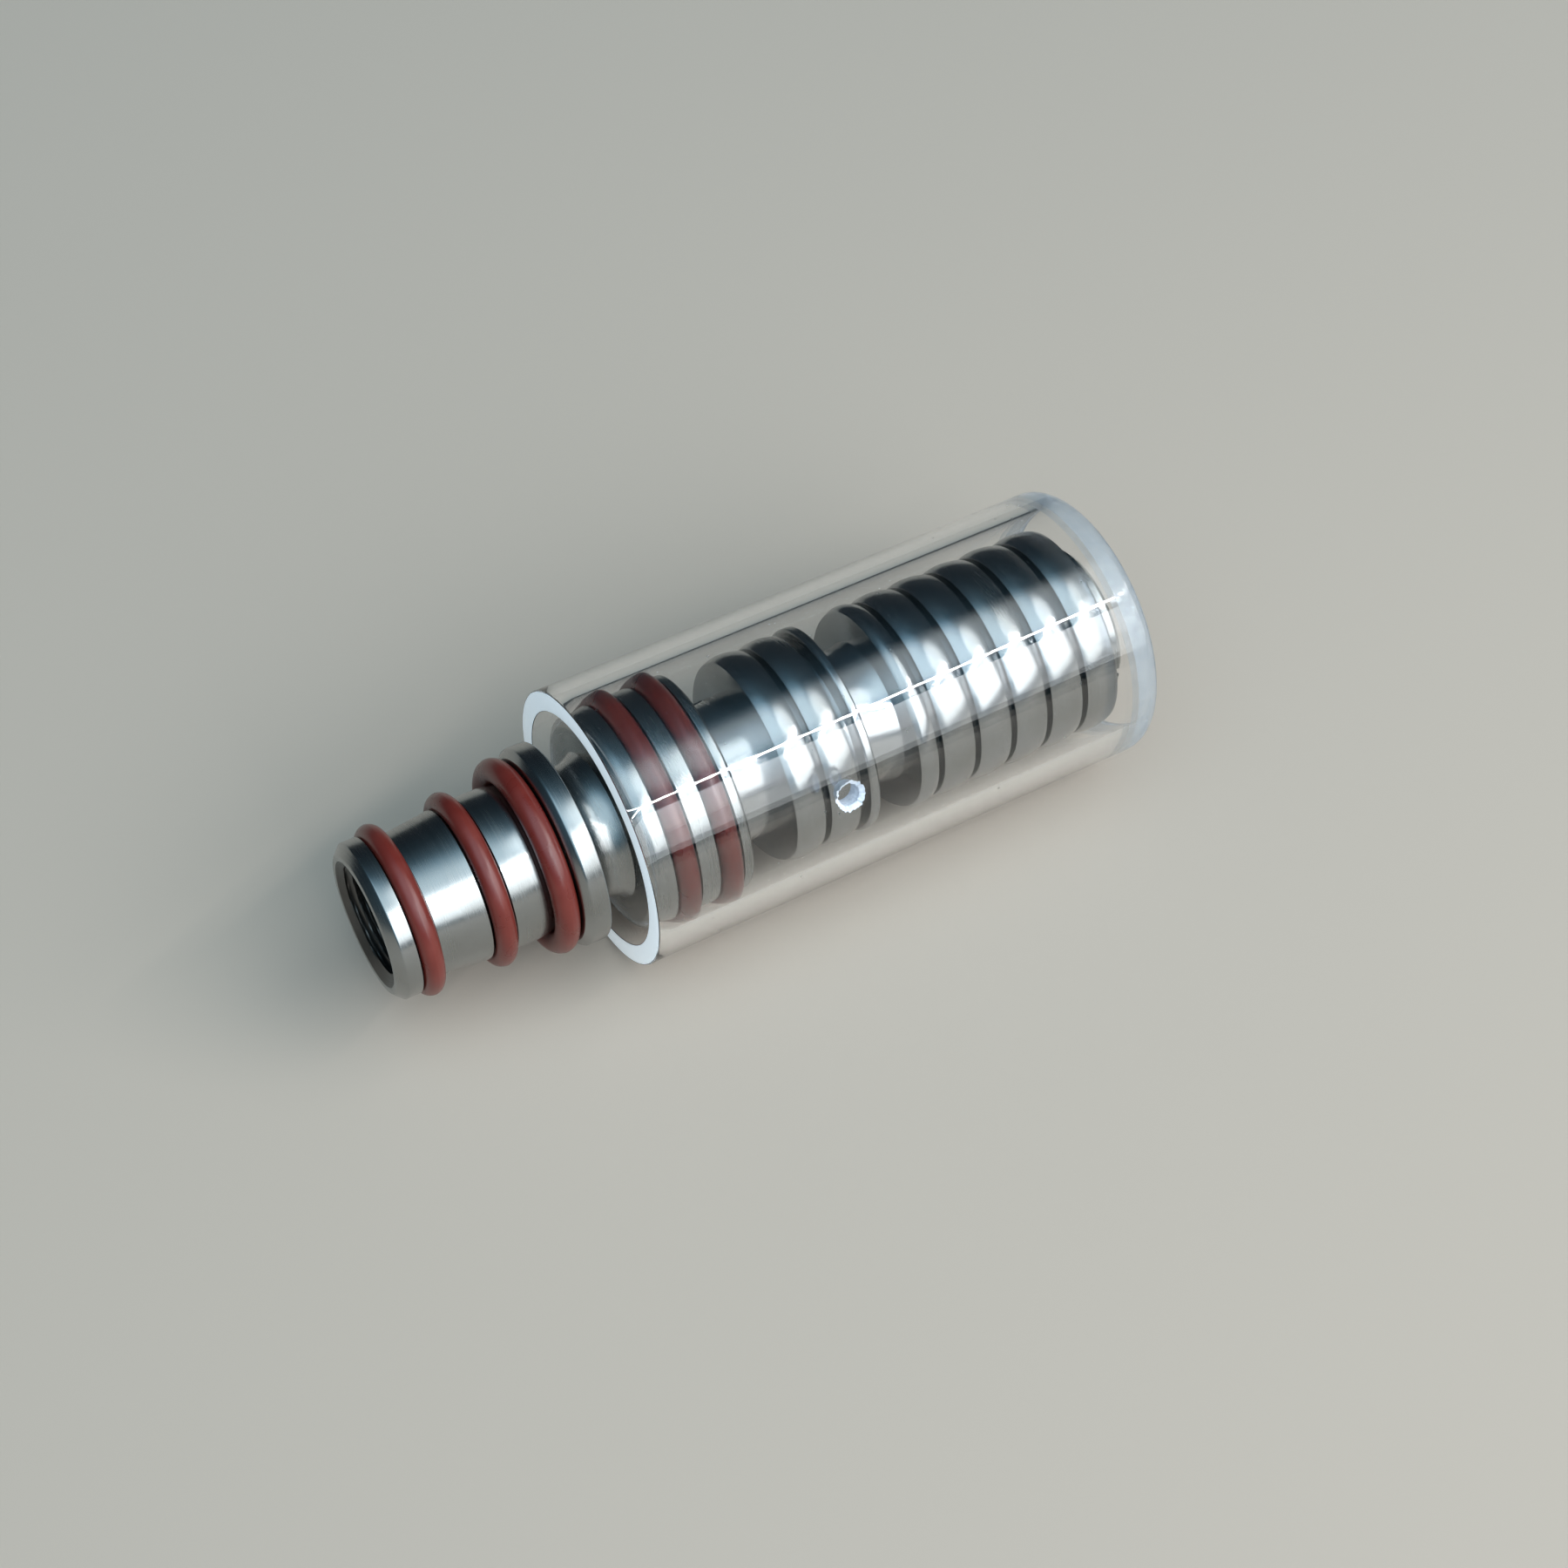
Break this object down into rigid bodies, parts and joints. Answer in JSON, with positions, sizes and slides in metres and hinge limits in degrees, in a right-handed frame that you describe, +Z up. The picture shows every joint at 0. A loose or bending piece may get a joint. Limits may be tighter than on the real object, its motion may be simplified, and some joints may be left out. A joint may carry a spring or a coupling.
{
  "type": "magnetic system filter cartridge",
  "caption": "Turned steel filter core with magnetised fins and an O-ring plug-in nose, held by O-rings in a thick clear sleeve with a drilled side port.",
  "frame": {"origin": "on the core's axis, in the plane of the nose flange's stop face", "axes": "+X runs along the core from the nose to the sleeve's far mouth, +Z up as the cartridge lies"},
  "size_m": [0.0565, 0.02, 0.02],
  "materials": {
    "turned_steel": "satin turned",
    "red_silicone": "satin",
    "clear_tube": "clear polished",
    "nickel_magnet": "nickel plated"
  },
  "bodies": {
    "core": {"inlet_spigot": "turned_steel", "seal_collar": "turned_steel", "outlet_spool": "turned_steel", "core_tube": "turned_steel", "front_fin_1": "turned_steel", "front_fin_2": "turned_steel", "front_edge_disc": "turned_steel", "spacer_spool": "turned_steel", "rear_lead_ring": "turned_steel", "rear_fin_1": "turned_steel", "rear_fin_2": "turned_steel", "rear_fin_3": "turned_steel", "rear_fin_4": "turned_steel", "rear_fin_5": "turned_steel", "end_plug": "turned_steel", "nose_oring_front": "red_silicone", "nose_oring_middle": "red_silicone", "nose_oring_rear": "red_silicone", "magnet_1": "nickel_magnet", "magnet_2": "nickel_magnet", "magnet_3": "nickel_magnet", "magnet_4": "nickel_magnet", "pole_disc_1": "turned_steel", "pole_disc_2": "turned_steel", "pole_disc_3": "turned_steel", "plug_oring": "red_silicone"},
    "sleeve_seals": {"sleeve_oring_front": "red_silicone", "sleeve_oring_rear": "red_silicone"},
    "sleeve": {"clear_sleeve": "clear_tube"}
  },
  "joints": [
    {"name": "sleeve_turn", "type": "hinge", "parent": "core", "child": "sleeve_seals", "pos_m": [0.0086, 0, 0], "axis": [1, 0, 0], "continuous": true},
    {"name": "sleeve_pull", "type": "slide", "parent": "sleeve_seals", "child": "sleeve", "axis": [1, 0, 0], "range_m": [0, 0.042]}
  ]
}
